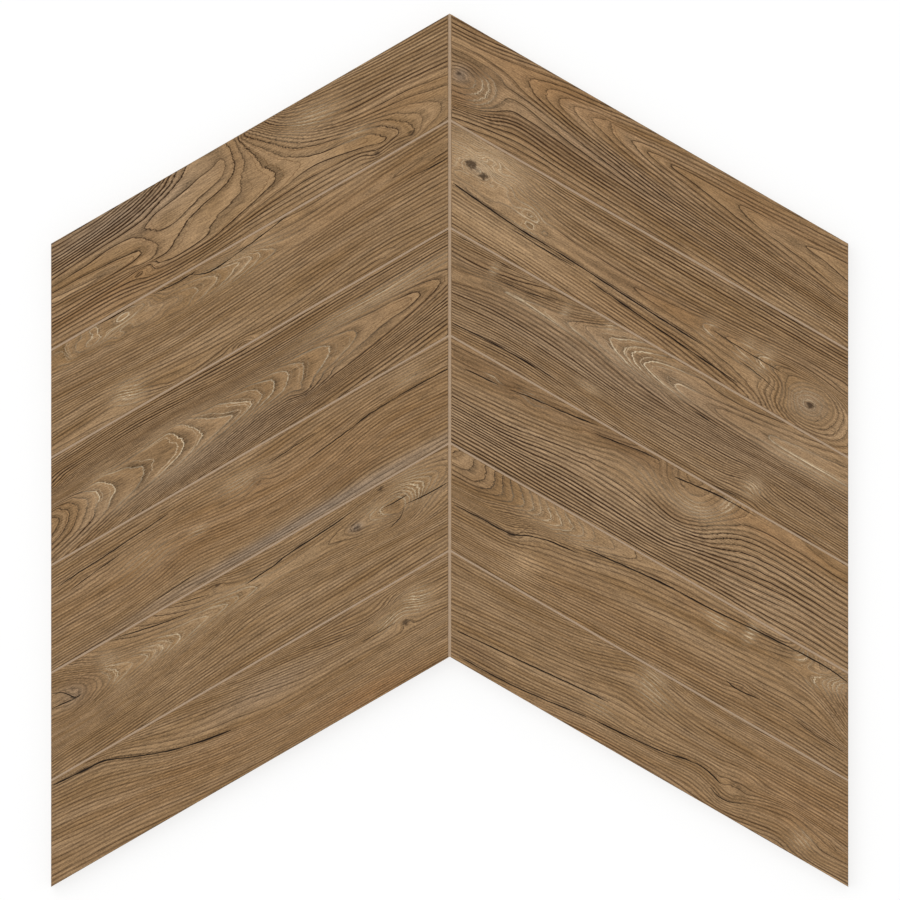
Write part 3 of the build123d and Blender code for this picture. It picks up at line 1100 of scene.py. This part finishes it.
pale_dash = ring_lines(rate=2.0, half_width=0.24, room=0.12, length=2, weakest=0.0)
pale_dash = add_node(tree, "Math", [pale_dash, dash_ink], operation="MULTIPLY")

# %% Draw the knots and cracks
knot_rim = streaks(grain, length=2.5, rate=1 / 1.2, detail=3, swing=0.2)
ragged_knot = add_node(tree, "Math", [knot_rim, value["knot"]], operation="ADD")
knot = add_node(tree, "MapRange", [ragged_knot, 0.25, 0.6, 0.0, 0.85])
from_crack = add_node(tree, "Math", [value["crack"]], operation="ABSOLUTE")
inner = add_node(tree, "Math", [value["crack_width"], 0.6], operation="MULTIPLY")
outer = add_node(tree, "Math", [value["crack_width"], 1.2], operation="MULTIPLY")
crack = add_node(tree, "MapRange", [from_crack, inner, outer, 1.0, 0.0])
there = add_node(tree, "Math", [value["crack_width"], 0.02], operation="GREATER_THAN")
crack = add_node(tree, "Math", [crack, there], operation="MULTIPLY")

# %% Lay the inks one over another
inks = [
    (fine_line, fine_brown),
    (ring_line, ring_brown),
    (pale_dash, pale_fleck),
    (pale_line, pale_fleck),
    (knot, knot_brown),
    (crack, crack_brown),
]
for share, tone in inks:
    share = add_node(tree, "Math", [share, 0.0], operation="ADD", use_clamp=True)
    colour = add_node(tree, "Mix", {0: share, 6: colour, 7: linear(tone)}, 2, data_type="RGBA")
# The glaze dips over the dark lines and is a little smoother where a fibre stands up
height = add_node(tree, "Math", [ring_line, -0.6, fibre], operation="MULTIPLY_ADD")
bump = add_node(tree, "Bump", {"Strength": 0.35, "Distance": 0.05 * mm, "Height": height})
roughness = add_node(tree, "MapRange", [fibre, -0.12, 0.12, 0.82, 0.68])
finish_material(tree, colour, roughness, bump)

# %% [markdown]
# The sides of the planks show the bare porcelain, and the joints show the filler.
#
# The body is pressed powder fired hard: pale, dry and even, with darker specks of clay. Cement
# filler is just as dull and a little rough with sand. Specks and sand are about 0.2 mm across in
# the real things, too fine to show here, so they are drawn at 0.9 mm and 0.5 mm.

# %% Porcelain body
body_light, body_dark, body_speck = "#B5A48E", "#A69580", "#7E6C58"
speck_size, cloud_size = 0.9 * mm, 14 * mm


def pressed_body():
    """Pale dry clay in soft clouds, with dark specks."""
    material, tree = new_material("pressed unglazed porcelain body")
    place = add_node(tree, "TexCoord", output=3)
    grit = add_node(tree, "TexNoise", {"Vector": place, "Scale": 1 / speck_size, "Detail": 3})
    cloud = add_node(tree, "TexNoise", {"Vector": place, "Scale": 1 / cloud_size, "Detail": 2})
    tone = add_node(tree, "MapRange", [cloud, 0.35, 0.65, 0.0, 1.0])
    tones = {0: tone, 6: linear(body_light), 7: linear(body_dark)}
    colour = add_node(tree, "Mix", tones, 2, data_type="RGBA")
    spots = add_node(tree, "MapRange", [grit, 0.58, 0.7, 0.0, 0.5])
    colour = add_node(tree, "Mix", {0: spots, 6: colour, 7: linear(body_speck)}, 2, data_type="RGBA")
    bump = add_node(tree, "Bump", {"Strength": 0.4, "Distance": 0.06 * mm, "Height": grit})
    finish_material(tree, colour, 0.85, bump)
    return material


body_material = pressed_body()

# %% Joint filler
filler_light, filler_dark = "#B59D85", "#A99177"
sand_size = 0.5 * mm


def sanded_filler():
    """Even tan cement with a trace of sand."""
    material, tree = new_material("sanded cement joint filler")
    place = add_node(tree, "TexCoord", output=3)
    sand = add_node(tree, "TexNoise", {"Vector": place, "Scale": 1 / sand_size, "Detail": 2})
    tone = add_node(tree, "MapRange", [sand, 0.35, 0.65, 0.0, 1.0])
    tones = {0: tone, 6: linear(filler_light), 7: linear(filler_dark)}
    colour = add_node(tree, "Mix", tones, 2, data_type="RGBA")
    bump = add_node(tree, "Bump", {"Strength": 0.5, "Distance": 0.08 * mm, "Height": sand})
    finish_material(tree, colour, 0.9, bump)
    return material


filler_material = sanded_filler()

# %% Dress the planks and the filler
facing_up = 0.3  # the print reaches over the arris and stops where a face stands steeper than this

for node, plank in planks.items():
    mesh = plank.data
    mesh.materials.clear()
    mesh.materials.append(print_material)
    mesh.materials.append(body_material)
    normals = np.empty(len(mesh.polygons) * 3)
    mesh.polygons.foreach_get("normal", normals)
    slots = (normals.reshape(-1, 3)[:, 2] < facing_up).astype(np.int32)
    mesh.polygons.foreach_set("material_index", slots)
    bpy.ops.object.select_all(action="DESELECT")
    plank.select_set(True)
    bpy.context.view_layer.objects.active = plank
    bpy.ops.object.shade_smooth_by_angle(angle=math.radians(30))
    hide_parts(node)
    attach(plank, "root")

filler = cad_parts["joint_filler"]
filler.data.materials.clear()
filler.data.materials.append(filler_material)
print("dressed planks:", len(planks))

# %% [markdown]
# The stage is a plain white floor under soft light.
#
# The world is white all round, which lights a matt surface at just the colour that is written.
# Part of that light is moved to a broad sun from the upper left, which brings out the relief.
# The floor shows the camera some light of its own, so that it is white in the picture and still
# keeps the sheet's shadow.

# %% Floor
floor_glow = 0.72  # light of its own that the floor shows to the camera
floor_grey = (0.29, 0.29, 0.29, 1)  # and what it reflects, which together are white


def seen_directly(tree):
    """1 for a ray that comes from the camera, a mirror or glass, and 0 for any other."""
    path = add_node(tree, "LightPath", output=None).outputs
    seen = add_node(tree, "Math", [path["Is Camera Ray"], path["Is Glossy Ray"]], operation="ADD")
    return add_node(tree, "Math", [seen, path["Is Transmission Ray"]], operation="ADD", use_clamp=True)


def white_floor():
    """Paper that is white to the camera and lights the sheet as plain pale paper does."""
    material, tree = new_material("matt white paper floor")
    glow = add_node(tree, "Emission", {"Color": linear("#FFFFFF"), "Strength": floor_glow})
    paper = add_node(tree, "BsdfDiffuse", {"Color": floor_grey})
    both = add_node(tree, "AddShader", [paper, glow])
    plain = add_node(tree, "BsdfDiffuse", {"Color": (0.8, 0.8, 0.8, 1)})
    mixed = add_node(tree, "MixShader", [seen_directly(tree), plain, both])
    add_node(tree, "OutputMaterial", [mixed], output=None)
    return material


bpy.ops.object.select_all(action="DESELECT")
bpy.ops.mesh.primitive_plane_add(size=6, location=(0, 0, 0))
bpy.ops.object.transform_apply(location=True, rotation=False, scale=True)
floor = bpy.context.object
floor.name = "floor"
floor.data.materials.append(white_floor())

# %% Light
sun_share = 0.25  # how much of the light on a level surface comes from the sun
sun_height = math.radians(60)
sun_turn = math.radians(45 + 180)  # so that it shines from the upper left
sun_spread = math.radians(60)  # its width in the sky, for soft shadows

world = bpy.data.worlds.new("soft white studio")
world.use_nodes = True
world.node_tree.nodes.clear()
tree = world.node_tree
sky = add_node(tree, "Background", {"Color": (1, 1, 1, 1), "Strength": 1 - sun_share})
sky_seen = add_node(tree, "Background", {"Color": (1, 1, 1, 1), "Strength": 1.0})
mixed = add_node(tree, "MixShader", [seen_directly(tree), sky, sky_seen])
add_node(tree, "OutputWorld", [mixed], output=None)
bpy.context.scene.world = world

bpy.ops.object.light_add(type="SUN", location=(-1, 1, 1.5))
sun = bpy.context.object
sun.data.angle = sun_spread
sun.data.energy = sun_share * math.pi / math.sin(sun_height)
sun.rotation_euler = (math.pi / 2 - sun_height, 0, sun_turn)

# %% [markdown]
# The camera looks straight down from far off, because the photograph shows no perspective.
#
# The sheet's two sides and its point are at known pixels of the photograph, and that gives the
# width of the view and its middle.

# %% Camera
image_size = 900  # pixels
left_side_px, right_side_px = 51.08, 848.30  # pixels from the photograph's left edge
point_px = 13.5  # pixels from its top edge
camera_height = 6.0  # m above the face
sensor = 36.0  # mm

low, high = cad_box
pixel = (high.x - low.x) / (right_side_px - left_side_px)
view_width = image_size * pixel
middle_x = (image_size / 2 - (left_side_px + right_side_px) / 2) * pixel
middle_y = high.y + point_px * pixel - view_width / 2
bpy.ops.object.camera_add(location=(middle_x, middle_y, thickness + camera_height), rotation=(0, 0, 0))
camera = bpy.context.object
camera.data.sensor_width = sensor
camera.data.lens = sensor * camera_height / view_width
camera.data.clip_end = 100
bpy.context.scene.camera = camera
bpy.context.scene.view_settings.view_transform = "Standard"
print(f"view {view_width / mm:.1f} mm wide, lens {camera.data.lens:.0f} mm")
